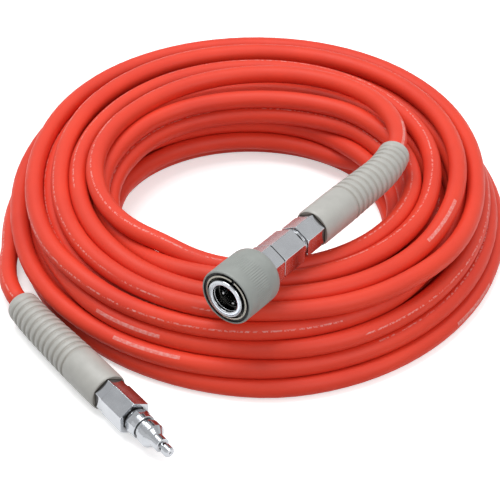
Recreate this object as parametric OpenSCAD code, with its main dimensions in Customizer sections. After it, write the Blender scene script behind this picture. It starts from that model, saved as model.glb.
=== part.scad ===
// Coiled air hose: one long polyurethane hose, laid in a pile of loops on the floor, with a
// swivelling plug on its outer end and a swivelling quick-release socket on its inner end.
// Millimetres, +Z up, floor at z = 0. The socket lies across the top of the pile, and the
// plug lies on the floor beside it. Both fittings are drawn along their own +Z axis, from
// the hose end (0) to the tip or the mouth, and are then put in place.

/* [Hose] */
// Outside diameter of the hose
hose_d = 10; // [9:0.5:11]
// Bore of the hose
hose_bore = 6.5; // [6:0.1:7]

/* [Pile of loops] */
// Radius of the outermost loop, to the middle of the hose
coil_r = 137; // [125:1:145]
// Free space between neighbouring loops of one layer
loop_gap = 0.7; // [0.5:0.1:1.5]
// Rise from one layer of loops to the next
layer_rise = 12.5; // [11:0.5:15]
// Loops in the bottom layer, which spirals inwards
loops_in_1 = 6; // [5:0.5:6]
// Loops in the second layer, which spirals outwards
loops_out_1 = 5.5; // [4.5:0.5:5.5]
// Loops in the third layer, which spirals inwards
loops_in_2 = 5.5; // [4.5:0.5:5.5]
// Loops in the top layer, which spirals outwards
loops_out_2 = 5; // [4:1:5]

/* [Strain relief sleeves] */
// Length of a strain relief sleeve
sleeve_len = 84; // [80:1:90]
// Diameter of the smooth shank
shank_d = 20.8; // [20.4:0.2:22]
// Diameter at the hose end, where the ribs begin
sleeve_end_d = 17.6; // [16:0.2:18]
// Length of the plain ring at the hose end
end_ring = 5; // [3:0.5:6]
// Number of grooves that let the sleeve bend
groove_count = 11; // [8:1:12]
// Distance from one groove to the next
groove_pitch = 4.6; // [4.2:0.1:4.8]
// Width of a groove
groove_w = 1.4; // [1:0.1:1.8]
// Depth of a groove
groove_depth = 0.9; // [0.5:0.1:1.2]
// Length at the hose end that bends with the hose
bend_len = 28; // [24:1:32]
// Bend of the plug's sleeve, in degrees
plug_bend_angle = 6; // [3:1:8]
// Bend of the socket's sleeve, in degrees
socket_bend_angle = 20; // [14:1:24]

/* [Clamp nuts and hose nipples] */
// Width across the flats of a clamp nut
nut_af = 16; // [15.8:0.1:16.4]
// Length of a clamp nut that the sleeve covers
nut_cover = 20; // [18:1:22]
// Length of the plug's clamp nut that shows
plug_nut_show = 6; // [5:0.5:7]
// Length of the socket's clamp nut that shows
socket_nut_show = 3; // [2:0.5:4]
// Width across the flats of a nipple's hexagon
nipple_af = 17; // [16.6:0.2:19]
// Length of the plug nipple's hexagon
plug_nipple_hex = 17; // [16:0.5:18]
// Length of the socket nipple's hexagon
socket_nipple_hex = 12; // [11.5:0.5:13]
// Diameter of the thread between nut and nipple
clamp_thread_d = 14; // [13.6:0.1:14.2]
// Length of the barb inside the hose
barb_len = 20; // [16:1:24]
// Wall of a nipple inside its barb
barb_wall = 1; // [0.8:0.1:1.2]

/* [Swivels] */
// Diameter of the turned stem in a swivel
stem_d = 10.84; // [10.4:0.02:11]
// Length of the stem inside its nipple
stem_len = 10; // [9.5:0.5:10.5]
// Distance of the retaining wire from the nipple's face
wire_at = 3.2; // [2.6:0.2:3.6]
// Diameter of the retaining wire
wire_d = 1.4; // [1.2:0.1:1.5]
// Distance of the O-ring from the nipple's face
oring_at = 6.8; // [6:0.2:7.4]
// Cord diameter of the O-ring
oring_d = 1.44; // [1.2:0.02:1.6]

/* [Plug] */
// Diameter of the collars that enter a socket
plug_d = 13.5; // [13.2:0.1:13.6]
// Width across the flats of the plug's hexagon
plug_af = 12; // [11.5:0.1:12.6]
// Diameter of the flange against the nipple
plug_flange_d = 12.4; // [12:0.1:13]
// Diameter of the groove that the locking balls hold
lock_groove_d = 11.2; // [10.8:0.1:11.6]
// Width of that groove
lock_groove_w = 2.8; // [2.6:0.1:3.2]
// Diameter of the neck that the socket's packing seals on
plug_neck_d = 7.8; // [7.6:0.1:8]
// Diameter of the nose
plug_nose_d = 5.8; // [5.4:0.1:6]
// Air bore of the plug
plug_bore = 3.2; // [3:0.1:3.6]

/* [Socket] */
// Diameter of the knurled cover
cover_d = 30; // [29.5:0.1:31]
// Length of the cover
cover_len = 26.8; // [26.4:0.2:28]
// Diameter of the socket body's tube
body_d = 18; // [17.9:0.1:18.1]
// Guide bore at the mouth
mouth_d = 14.8; // [14.6:0.1:15]
// Length of that guide bore
mouth_len = 3.4; // [3:0.1:3.6]
// Bore that takes the plug's collars
throat_d = 13.8; // [13.7:0.1:13.9]
// Bore of the chamber that holds packing and valve
chamber_d = 13.2; // [13:0.1:13.4]
// Width across the flats of the body's hexagon
body_af = 19; // [18.6:0.1:19]
// Width across the flats of the adapter's hexagon
adapter_af = 18.4; // [18:0.1:19]
// Length of the adapter's hexagon
adapter_hex = 17.2; // [16:0.2:18]
// Diameter of a locking ball
ball_d = 3; // [2.9:0.05:3.05]
// Number of locking balls
ball_count = 6;
// Distance of the balls from the mouth
ball_at = 6.5; // [6.3:0.1:6.6]
// How far the balls stand into the throat
ball_inside = 0.9; // [0.8:0.05:0.9]
// Wire diameter of the sleeve's return spring
sleeve_wire_d = 1.1; // [0.9:0.05:1.2]
// Wire diameter of the valve's spring
valve_wire_d = 1; // [0.8:0.05:1.1]
// Number of grooves in the cover's knurl
knurl_count = 60; // [48:4:64]

/* [Clearances] */
// Radial clearance of a turning or sliding fit
run_gap = 0.08; // [0.05:0.01:0.1]
// Radial clearance between pieces that are held together
seat_gap = 0.05; // [0.03:0.01:0.08]
// Free space round a spring or beside a groove's ring
free_gap = 0.1; // [0.05:0.01:0.15]

/* [Hidden] */
$fn = 96;

// Colours
red = "#dc4132";
milky = "#c8c8c0";
satin = "#aaacb9";
cover_grey = "#a0a6a0";
dark = "#2b2b2e";

// Pile of loops
hose_r = hose_d / 2;
loop_step = hose_d + loop_gap;
loops_total = loops_in_1 + loops_out_1 + loops_in_2 + loops_out_2;
rings_per_loop = 24;
coil_sides = 6;
section_turn = 60;
base_cut = hose_d / 10;
coil_axis_z = hose_r * cos(180 / coil_sides) - base_cut;
end_run = hose_d;
coil_top = coil_axis_z + 3 * layer_rise + hose_r * cos(180 / coil_sides);
coil_end_r = coil_r - loop_step * (loops_in_1 - loops_out_1 + loops_in_2 - loops_out_2);
coil_end_z = coil_axis_z + 3 * layer_rise;
// Middle of the pile, measured from the middle of the whole part
coil_x = 3;
coil_y = 24;
coil_place = [coil_x, coil_y, 0];

// Fittings, along their own axis
ribs_len = end_ring + groove_count * groove_pitch;
shank_r = shank_d / 2;
nut_from = sleeve_len - nut_cover;
hose_grip = 16;
tail_len = nut_from + hose_grip;
nut_r = nut_af / 2 / cos(30);
nipple_r = nipple_af / 2 / cos(30);
thread_r = clamp_thread_d / 2;
stem_r = stem_d / 2;
swivel_r = stem_r + run_gap;
nipple_bore = hose_bore / 2 - seat_gap - barb_wall;
swivel_split = 0.3;

// Plug, whose axis lies beside the outermost loop at the azimuth of plug_foot_angle
plug_nut_end = sleeve_len + plug_nut_show;
plug_face = plug_nut_end + plug_nipple_hex;
plug_flange = 0.9;
plug_hex_len = 3.8;
collar_rear = 3.4;
collar_front = 4.6;
neck_cone = 3.6;
neck_len = 4.9;
nose_groove = 1.8;
nose_len = 4.4;
plug_foot_angle = -143;
plug_lead = 13;
plug_yaw_angle = plug_foot_angle + 90;
plug_beside = 0.3;
loop_beside_plug = coil_r - loop_step * (180 - plug_foot_angle) / 360;
plug_line = loop_beside_plug + hose_r + shank_r + plug_beside;
plug_place = plug_line * [cos(plug_foot_angle), sin(plug_foot_angle), 0]
    - plug_lead * [cos(plug_yaw_angle), sin(plug_yaw_angle), 0] + [0, 0, shank_r];

// Socket, whose mouth is the zero of the distances below
cover_r = cover_d / 2;
body_r = body_d / 2;
throat_r = throat_d / 2;
chamber_r = chamber_d / 2;
ball_r = ball_d / 2;
ball_ring_r = throat_r - ball_inside + ball_r;
ball_stop = 0.08;
mouth_lead = 0.6;
throat_end = 12.5;
step_at = 16.3;
passage_r = 4.4;
packing_len = 3;
seat_len = 2;
seat_end = step_at + packing_len + seat_len;
flange_at = 20;
flange_len = 2;
flange_r = body_r + 2.1;
body_end = 36;
adapter_front = 31;
adapter_thread_r = 8;
adapter_neck = 0.8;
adapter_neck_r = 8.7;
adapter_end = body_end + adapter_neck + adapter_hex;
collar_len = 1.8;
socket_split = adapter_end + collar_len + swivel_split;
boss_len = 1.4;
socket_len = socket_split + boss_len + socket_nipple_hex + socket_nut_show + sleeve_len;
socket_yaw_angle = 233;
socket_pitch_angle = 2;
socket_lift = 0.3;
mouth_z = coil_top + socket_lift + cover_r * cos(socket_pitch_angle) + cover_len * sin(socket_pitch_angle);
mouth_foot_angle = -95.56;
mouth_inset = 7;
mouth_place = (coil_r - mouth_inset) * [cos(mouth_foot_angle), sin(mouth_foot_angle), 0] + [0, 0, mouth_z];
ring_at = 2.2;
ring_wire_d = 1.6;
ring_proud = 0.2;
land_from = 6.6;
land_to = 9.5;
cone_front_r = 10.6;
cone_front_at = 0.5;
lip_len = 1;
lock_sleeve_end = 21.5;
cover_wall = 2.4;
lock_sleeve_r = cover_r - cover_wall - seat_gap;
spring_room_r = flange_r + run_gap;
seat_bore_r = 4.2;
seal_len = 0.85;
seal_inner_r = 4.25;
disc_r = 5.4;
poppet_disc_at = seat_end + seat_gap + seal_len;
poppet_wings = 3.2;
poppet_wing_end = poppet_disc_at + poppet_wings;
poppet_stem = 4.6;
poppet_stem_r = 3.2;
poppet_stem_end = poppet_wing_end + poppet_stem;
valve_spring_r = 4.3;
rings_per_curl = 8;
spring_seat_at = 36.5;

// Route of the free length from the pile to the plug: azimuth, radius as a share of the
// outermost loop's, and how far it has climbed from the floor to the plug's axis
plug_route = [[194.93, 1.0198, 0.185], [201.65, 1.0288, 0.556]];

// Route of the free length from the pile to the socket: azimuth, radius as a share of the
// outermost loop's, climb from the top layer to the loops' backs, and from there to the socket
ride_gap = 0.84;
ride_z = coil_top + hose_r + ride_gap;
socket_route = [
    [165.64, 0.9419, 0.213, 0], [156.8, 0.9451, 0.607, 0], [147.67, 0.9416, 0.902, 0],
    [139.5, 0.9215, 1, 0], [131.01, 0.8898, 1, 0], [122.06, 0.8524, 1, 0],
    [112.86, 0.8082, 1, 0], [103.24, 0.7649, 1, 0], [92.89, 0.7236, 1, 0],
    [81.52, 0.6937, 1, 0], [69.59, 0.6698, 1, 0], [56.49, 0.6478, 1, 0],
    [43.6, 0.635, 1, 0.202], [30.16, 0.6247, 1, 0.4045], [17.15, 0.6188, 1, 0.607]
];

// Height of the hose at a number of loops from the outer end
function climbed(t, at) = let(u = min(1, max(0, (t - at) * 2 + 0.5))) u * u * (3 - 2 * u);
turn_1 = loops_in_1;
turn_2 = turn_1 + loops_out_1;
turn_3 = turn_2 + loops_in_2;
function loop_z(t) =
    coil_axis_z + layer_rise * (climbed(t, turn_1) + climbed(t, turn_2) + climbed(t, turn_3));

// Radius of the hose's middle at a number of loops from the outer end
function loop_r(t) = coil_r - loop_step * (
    min(t, turn_1) - max(0, min(t, turn_2) - turn_1)
    + max(0, min(t, turn_3) - turn_2) - max(0, t - turn_3));

function loop_dir(t) = [cos(180 - 360 * t), sin(180 - 360 * t), 0];
function loop_centre(t) = loop_r(t) * loop_dir(t) + [0, 0, loop_z(t)];

// Middles and outward directions of every ring, with a straight run at each end
coil_steps = loops_total * rings_per_loop;
coil_centres = concat(
    [loop_centre(0) - [0, end_run, 0]],
    [for (i = [0:coil_steps]) loop_centre(i / rings_per_loop)],
    [loop_centre(loops_total) + [0, end_run, 0]]);
coil_outs = concat(
    [loop_dir(0)],
    [for (i = [0:coil_steps]) loop_dir(i / rings_per_loop)],
    [loop_dir(loops_total)]);

// Points of one six-sided ring, cut flat where it lies on the floor
function coil_ring(centre, out) = [
    for (k = [0:coil_sides - 1])
        let(p = centre + hose_r * (cos(k * section_turn) * out + [0, 0, sin(k * section_turn)]))
            [p[0], p[1], max(0, p[2])]
];

// Triangles that join rings of n points, count rings in all, closed at both ends
function tube_faces(count, n) = concat(
    [for (k = [1:n - 2]) [0, k, k + 1]],
    [for (i = [0:count - 2], k = [0:n - 1])
        [i * n + k, (i + 1) * n + k, (i + 1) * n + (k + 1) % n]],
    [for (i = [0:count - 2], k = [0:n - 1])
        [i * n + k, (i + 1) * n + (k + 1) % n, i * n + (k + 1) % n]],
    [for (k = [1:n - 2]) let(last = (count - 1) * n) [last, last + k + 1, last + k]]);

// Least distance between rings of different loops, less the hose's diameter
function coil_gap() = min([
    for (i = [0:coil_steps - rings_per_loop / 2], j = [i + rings_per_loop / 2:coil_steps])
        norm(loop_centre(i / rings_per_loop) - loop_centre(j / rings_per_loop))
]) - hose_d;

// Direction along a route at ring i, level or sloping but never upright
function along(points, i) =
    let(a = points[max(0, i - 1)], b = points[min(len(points) - 1, i + 1)]) (b - a) / norm(b - a);
function level_side(d) = cross(d, [0, 0, 1]) / norm(cross(d, [0, 0, 1]));

route_sides = 8;
function route_ring(centre, d) =
    let(side = level_side(d), up = cross(side, d))
        [for (k = [0:route_sides - 1])
            let(a = 360 * (k + 0.5) / route_sides) centre + hose_r * (cos(a) * side + sin(a) * up)];

module route_tube(points) {
    rings = [for (i = [0:len(points) - 1]) route_ring(points[i], along(points, i))];
    polyhedron([for (ring = rings) each ring], tube_faces(len(points), route_sides));
}

function polar(azimuth, radius, z) = [radius * cos(azimuth), radius * sin(azimuth), z];

// A point or direction of a fitting, turned to its pitch and yaw
function tipped(p, pitch) = [
    p[0] * sin(pitch) + p[2] * cos(pitch), p[1], p[2] * sin(pitch) - p[0] * cos(pitch)];
function swung(p, yaw) = [
    p[0] * cos(yaw) - p[1] * sin(yaw), p[0] * sin(yaw) + p[1] * cos(yaw), p[2]];

// Where the hose leaves a bent sleeve: side is 1 or -1 for a bend towards +Y or -Y
function bend_r(bend) = bend_len * 180 / (PI * bend);
function exit_point(bend, side) =
    [0, side * bend_r(bend) * (1 - cos(bend)), bend_len - bend_r(bend) * sin(bend)];
function exit_way(bend, side) = [0, side * sin(bend), -cos(bend)];

plug_exit = plug_place + swung(tipped(exit_point(plug_bend_angle, 1), 0), plug_yaw_angle);
plug_way = swung(tipped(exit_way(plug_bend_angle, 1), 0), plug_yaw_angle);
socket_start = mouth_place
    - socket_len * swung(tipped([0, 0, 1], socket_pitch_angle), socket_yaw_angle);
socket_exit = socket_start + swung(tipped(exit_point(socket_bend_angle, -1), socket_pitch_angle), socket_yaw_angle);
socket_way = swung(tipped(exit_way(socket_bend_angle, -1), socket_pitch_angle), socket_yaw_angle);

// Carries a fitting drawn along +Z to its place
module at_plug() {
    translate(coil_place + plug_place) rotate([0, 90, plug_yaw_angle]) children();
}

module at_socket() {
    translate(coil_place + socket_start) rotate([0, 90 - socket_pitch_angle, socket_yaw_angle]) children();
}

// The same, for a socket piece drawn from the mouth backwards
module at_mouth() {
    at_socket() translate([0, 0, socket_len]) children();
}

// Puts a piece at a distance from the hose end on a sleeve that bends
module on_bend(at, bend, side) {
    angle = max(0, bend_len - at) * bend / bend_len;
    translate([0, side * bend_r(bend), bend_len + max(0, at - bend_len)])
        rotate([side * angle, 0, 0])
            translate([0, -side * bend_r(bend), 0])
                children();
}

// Round rod of radius r along the bent part, and on past the hose end by the angle past
module bent_part(r, bend, side, past) {
    translate([0, side * bend_r(bend), bend_len])
        rotate([-90, 0, -side * 90])
            rotate_extrude(angle = bend + past)
                translate([bend_r(bend), 0])
                    circle(r = r);
}

// The same, with the straight part up to the distance to
module bent_rod(r, to, bend, side, past) {
    bent_part(r, bend, side, past);
    translate([0, 0, bend_len])
        cylinder(r = r, h = to - bend_len);
}

// Body turned about +Z from its outline of radius and height
module turned(outline) {
    rotate_extrude()
        polygon(outline);
}

// Hexagon bar from z0 to z1 with its corners turned off at both ends
module hex_bar(af, z0, z1, ease = 0.8) {
    corner = af / 2 / cos(30);
    intersection() {
        translate([0, 0, z0])
            cylinder(r = corner, h = z1 - z0, $fn = 6);
        turned([
            [0, z0], [corner - ease, z0], [corner + 0.01, z0 + ease / 2],
            [corner + 0.01, z1 - ease / 2], [corner - ease, z1], [0, z1]
        ]);
    }
}

module hose_coil() {
    echo(least_gap_between_loops = coil_gap());
    color(red)
        translate(coil_place)
            polyhedron(
                [for (i = [0:coil_steps + 2]) each coil_ring(coil_centres[i], coil_outs[i])],
                tube_faces(coil_steps + 3, coil_sides));
}

// From the pile's outer end to the plug's sleeve
module hose_plug_run() {
    start = [-coil_r, -end_run, hose_r];
    color(red)
        translate(coil_place)
            route_tube(concat(
                [start, start - [0, end_run, 0]],
                [for (p = plug_route) polar(p[0], coil_r * p[1], hose_r + p[2] * (plug_exit[2] - hose_r))],
                [plug_exit + end_run * plug_way, plug_exit]));
}

// From the pile's inner end, round the back and over the loops to the socket's sleeve
module hose_socket_run() {
    start = [-coil_end_r, end_run, coil_end_z];
    color(red)
        translate(coil_place)
            route_tube(concat(
                [start, start + [0, end_run, 0]],
                [for (p = socket_route) polar(p[0], coil_r * p[1], coil_end_z
                    + p[2] * (ride_z - coil_end_z) + p[3] * (socket_exit[2] - ride_z))],
                [socket_exit + end_run * socket_way, socket_exit]));
}

// Hose inside a sleeve, pushed over the nipple's barb
module hose_tail(bend, side) {
    difference() {
        bent_rod(hose_r, tail_len, bend, side, 0);
        bent_rod(hose_bore / 2, tail_len + 1, bend, side, 1);
    }
}

module hose_plug_tail() {
    color(red)
        at_plug()
            hose_tail(plug_bend_angle, 1);
}

module hose_socket_tail() {
    color(red)
        at_socket()
            hose_tail(socket_bend_angle, -1);
}

// Outer radius of a sleeve's ribs at a distance from the hose end
function rib_r(at) = sleeve_end_d / 2 + (shank_d - sleeve_end_d) / 2 * at / ribs_len;

// Sleeve with a plain end ring, ribs that bend and a smooth shank over the clamp nut
module strain_sleeve(bend, side) {
    rib_len = groove_pitch - groove_w;
    lap = 0.5;
    ease = 0.6;
    hose_room = 0.2;
    bore_step = 0.05;
    difference() {
        union() {
            on_bend(end_ring / 2, bend, side)
                cylinder(r1 = rib_r(0), r2 = rib_r(end_ring), h = end_ring, center = true);
            for (i = [0:groove_count - 1]) {
                groove_mid = end_ring + i * groove_pitch + groove_w / 2;
                rib_mid = groove_mid + groove_w / 2 + rib_len / 2;
                on_bend(groove_mid, bend, side)
                    cylinder(
                        r1 = rib_r(groove_mid) - groove_depth, r2 = rib_r(groove_mid) - groove_depth,
                        h = groove_w + 2 * lap, center = true);
                on_bend(rib_mid, bend, side)
                    cylinder(
                        r1 = rib_r(rib_mid - rib_len / 2), r2 = rib_r(rib_mid + rib_len / 2),
                        h = rib_len, center = true);
            }
            turned([
                [0, ribs_len], [shank_r, ribs_len], [shank_r, sleeve_len - ease],
                [shank_r - ease, sleeve_len], [0, sleeve_len]
            ]);
        }
        bent_part(hose_r + hose_room, bend, side, 1);
        translate([0, 0, bend_len - lap])
            cylinder(r = hose_r + hose_room + bore_step, h = sleeve_len);
        translate([0, 0, nut_from - lap])
            cylinder(r = nut_r + seat_gap, h = sleeve_len);
    }
}

module plug_strain_sleeve() {
    color(milky)
        at_plug()
            strain_sleeve(plug_bend_angle, 1);
}

module socket_strain_sleeve() {
    color(milky)
        at_socket()
            strain_sleeve(socket_bend_angle, -1);
}

// Nut that clamps the hose on the barb: smooth bore over the hose, thread over the nipple
module clamp_nut(nut_end) {
    difference() {
        hex_bar(nut_af, nut_from, nut_end);
        translate([0, 0, nut_from - 1])
            cylinder(r = hose_r + seat_gap, h = nut_end);
        translate([0, 0, tail_len])
            cylinder(r = thread_r + seat_gap, h = nut_end);
    }
}

module plug_clamp_nut() {
    color(satin)
        at_plug()
            clamp_nut(plug_nut_end);
}

module socket_clamp_nut() {
    color(satin)
        at_socket()
            clamp_nut(sleeve_len + socket_nut_show);
}

// Nipple: barb inside the hose, thread for the nut, hexagon, and a bore for the swivel's stem
module hose_nipple(nut_end, hex_len, boss) {
    barb_r = hose_bore / 2 - seat_gap;
    barb_from = tail_len - barb_len;
    barb_cut = 0.35;
    barb_back = 0.6;
    barb_pitch = barb_len / 4;
    face = nut_end + hex_len + boss;
    boss_r = stem_r + 2.2;
    lap = 0.5;
    difference() {
        union() {
            turned(concat(
                [[0, barb_from]],
                [for (i = [0:3]) each [
                    [barb_r - barb_cut, barb_from + i * barb_pitch],
                    [barb_r, barb_from + (i + 1) * barb_pitch - barb_back]
                ]],
                [
                    [barb_r, tail_len + seat_gap], [thread_r - 0.5, tail_len + seat_gap],
                    [thread_r, tail_len + 0.6], [thread_r, nut_end], [0, nut_end]
                ]));
            hex_bar(nipple_af, nut_end, nut_end + hex_len);
            if (boss > 0)
                translate([0, 0, nut_end + hex_len - lap])
                    cylinder(r = boss_r, h = boss + lap);
        }
        translate([0, 0, barb_from - 1])
            cylinder(r = nipple_bore, h = face);
        translate([0, 0, face - stem_len - swivel_split])
            cylinder(r = swivel_r, h = stem_len + 1);
        translate([0, 0, face - wire_at - wire_d / 2 - free_gap])
            cylinder(r = swivel_r + wire_d / 2 + free_gap, h = wire_d + 2 * free_gap);
    }
}

module plug_hose_nipple() {
    color(satin)
        at_plug()
            hose_nipple(plug_nut_end, plug_nipple_hex, 0);
}

module socket_hose_nipple() {
    color(satin)
        at_socket()
            hose_nipple(sleeve_len + socket_nut_show, socket_nipple_hex, boss_len);
}

// Outline of a swivel's stem, from its end towards its root at the nipple's face at z = 0,
// with grooves for the O-ring and the retaining wire
wire_ring_r = swivel_r - run_gap / 2;
stem_ease = 0.4;
stem_outline = [
    [0, -stem_len], [stem_r - stem_ease, -stem_len], [stem_r, -stem_len + stem_ease],
    [stem_r, -oring_at - oring_d / 2 - free_gap],
    [stem_r - oring_d - free_gap, -oring_at - oring_d / 2 - free_gap],
    [stem_r - oring_d - free_gap, -oring_at + oring_d / 2 + free_gap],
    [stem_r, -oring_at + oring_d / 2 + free_gap],
    [stem_r, -wire_at - wire_d / 2 - seat_gap],
    [wire_ring_r - wire_d / 2 - seat_gap, -wire_at - wire_d / 2 - seat_gap],
    [wire_ring_r - wire_d / 2 - seat_gap, -wire_at + wire_d / 2 + seat_gap],
    [stem_r, -wire_at + wire_d / 2 + seat_gap]
];

module swivel_oring() {
    translate([0, 0, -oring_at])
        rotate_extrude()
            translate([stem_r - oring_d / 2, 0])
                circle(d = oring_d);
}

// Open ring of wire that keeps the stem in the nipple
module swivel_wire() {
    translate([0, 0, -wire_at])
        rotate_extrude(angle = 320)
            translate([wire_ring_r, 0])
                circle(d = wire_d);
}

module plug_swivel_oring() {
    color(dark)
        at_plug()
            translate([0, 0, plug_face])
                swivel_oring();
}

module plug_swivel_wire() {
    color(satin)
        at_plug()
            translate([0, 0, plug_face])
                swivel_wire();
}

module socket_swivel_oring() {
    color(dark)
        at_mouth()
            translate([0, 0, -socket_split])
                swivel_oring();
}

module socket_swivel_wire() {
    color(satin)
        at_mouth()
            translate([0, 0, -socket_split])
                swivel_wire();
}

// Plug: stem, flange, hexagon, two collars with the locking groove between, neck and nose
module plug_body() {
    collar_r = plug_d / 2;
    neck_r = plug_neck_d / 2;
    nose_r = plug_nose_d / 2;
    hex_from = swivel_split + plug_flange;
    rear_collar = hex_from + plug_hex_len;
    groove_from = rear_collar + collar_rear;
    front_collar = groove_from + lock_groove_w;
    cone_from = front_collar + collar_front;
    neck_from = cone_from + neck_cone;
    nose_groove_from = neck_from + neck_len;
    nose_from = nose_groove_from + nose_groove;
    tip = nose_from + nose_len;
    ease = 0.4;
    groove_cut = 0.6;
    nose_ease = 0.8;
    air_hole_r = 0.8;
    air_hole_end_r = 0.2;
    nose_bore_stop = 0.4;
    color(satin)
        at_plug()
            translate([0, 0, plug_face])
                difference() {
                    union() {
                        turned(concat(stem_outline, [
                            [stem_r, swivel_split], [plug_flange_d / 2, swivel_split],
                            [plug_flange_d / 2, hex_from], [0, hex_from]
                        ]));
                        hex_bar(plug_af, hex_from, rear_collar, 0.5);
                        turned([
                            [0, rear_collar], [collar_r, rear_collar],
                            [collar_r, groove_from - ease], [collar_r - ease, groove_from],
                            [lock_groove_d / 2, groove_from], [lock_groove_d / 2, front_collar],
                            [collar_r - ease, front_collar], [collar_r, front_collar + ease],
                            [collar_r, cone_from], [neck_r, neck_from],
                            [neck_r, nose_groove_from - groove_cut],
                            [nose_r - groove_cut, nose_groove_from],
                            [nose_r - groove_cut, nose_from], [nose_r, nose_from + groove_cut / 2],
                            [nose_r, tip - nose_ease], [nose_r - nose_ease, tip], [0, tip]
                        ]);
                    }
                    translate([0, 0, -stem_len - 1])
                        cylinder(d = plug_bore, h = stem_len + 1 + nose_from - nose_bore_stop);
                    for (a = [0, 90])
                        translate([0, 0, (nose_groove_from + nose_from) / 2])
                            rotate([0, 90, a])
                                cylinder(r = air_hole_r, h = plug_neck_d, center = true);
                    translate([0, 0, tip - groove_cut])
                        cylinder(r1 = air_hole_end_r, r2 = air_hole_r, h = groove_cut + 0.01);
                }
}

// Body of the socket: tube with the ball holes, flange and hexagon
module socket_body() {
    mouth_r = mouth_d / 2;
    ring_groove_r = body_r + ring_proud - ring_wire_d / 2 - seat_gap;
    ring_w = ring_wire_d / 2 + free_gap;
    color(satin)
        at_mouth()
            difference() {
                union() {
                    turned([
                        [0, 0], [body_r - 0.4, 0], [body_r, -0.4],
                        [body_r, -ring_at + ring_w], [ring_groove_r, -ring_at + ring_w],
                        [ring_groove_r, -ring_at - ring_w], [body_r, -ring_at - ring_w],
                        [body_r, -flange_at], [flange_r, -flange_at],
                        [flange_r, -flange_at - flange_len], [0, -flange_at - flange_len]
                    ]);
                    hex_bar(body_af, -body_end, -flange_at - flange_len, 0.6);
                }
                turned([
                    [0, 1], [mouth_r + mouth_lead + 1, 1], [mouth_r, -mouth_lead],
                    [mouth_r, -mouth_lead - mouth_len], [throat_r, -mouth_lead - mouth_len],
                    [throat_r, -throat_end], [passage_r, -step_at + 1], [passage_r, -step_at],
                    [chamber_r, -step_at], [chamber_r, -adapter_front],
                    [adapter_thread_r, -adapter_front], [adapter_thread_r, -body_end - 1],
                    [0, -body_end - 1]
                ]);
                for (i = [0:ball_count - 1])
                    rotate([0, 90, i * 360 / ball_count])
                        translate([ball_at, 0, 0]) {
                            cylinder(r = ball_r - seat_gap, h = body_r);
                            translate([0, 0, throat_r + ball_stop])
                                cylinder(r = ball_r + seat_gap, h = body_r);
                        }
            }
}

// Adapter: thread into the body, hexagon, collar, and the stem that turns in the nipple
module socket_adapter() {
    seat_r = 3.2;
    spring_bore_r = 5.6;
    collar_r = stem_r + 1.8;
    screw_r = adapter_thread_r - seat_gap;
    lap = 0.5;
    color(satin)
        at_mouth()
            difference() {
                union() {
                    turned([
                        [0, -adapter_front - seat_gap], [screw_r - 0.4, -adapter_front - seat_gap],
                        [screw_r, -adapter_front - 0.5], [screw_r, -body_end],
                        [adapter_neck_r, -body_end], [adapter_neck_r, -body_end - adapter_neck - lap],
                        [0, -body_end - adapter_neck - lap]
                    ]);
                    hex_bar(adapter_af, -adapter_end, -body_end - adapter_neck);
                    translate([0, 0, -adapter_end - collar_len])
                        cylinder(r = collar_r, h = collar_len + lap);
                    translate([0, 0, -socket_split])
                        turned(concat(stem_outline, [
                            [stem_r, swivel_split + lap], [0, swivel_split + lap]
                        ]));
                }
                translate([0, 0, -spring_seat_at])
                    cylinder(r = spring_bore_r, h = spring_seat_at);
                translate([0, 0, -adapter_end])
                    cylinder(r = seat_r, h = adapter_end);
                translate([0, 0, -socket_split - stem_len - 1])
                    cylinder(d = plug_bore, h = socket_split);
            }
}

// Packing that seals round the plug's neck
module plug_packing() {
    inner_r = plug_neck_d / 2 - seat_gap;
    outer_r = chamber_r - seat_gap;
    packing_end = step_at + packing_len;
    color(dark)
        at_mouth()
            turned([
                [inner_r + 0.6, -step_at], [outer_r, -step_at], [outer_r, -packing_end],
                [inner_r + 0.9, -packing_end], [inner_r, -packing_end + 1.2], [inner_r, -step_at - 0.6]
            ]);
}

// Ring that the closed valve rests on
module valve_seat() {
    outer_r = chamber_r - seat_gap;
    seat_from = step_at + packing_len;
    ease = 0.3;
    color(satin)
        at_mouth()
            turned([
                [seat_bore_r, -seat_from], [outer_r, -seat_from], [outer_r, -seat_end],
                [seat_bore_r + ease, -seat_end], [seat_bore_r, -seat_end + ease]
            ]);
}

// Rubber ring on the front of the poppet
module valve_seal() {
    color(dark)
        at_mouth()
            turned([
                [seal_inner_r, -seat_end - seat_gap], [disc_r, -seat_end - seat_gap],
                [disc_r, -poppet_disc_at], [seal_inner_r, -poppet_disc_at]
            ]);
}

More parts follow.
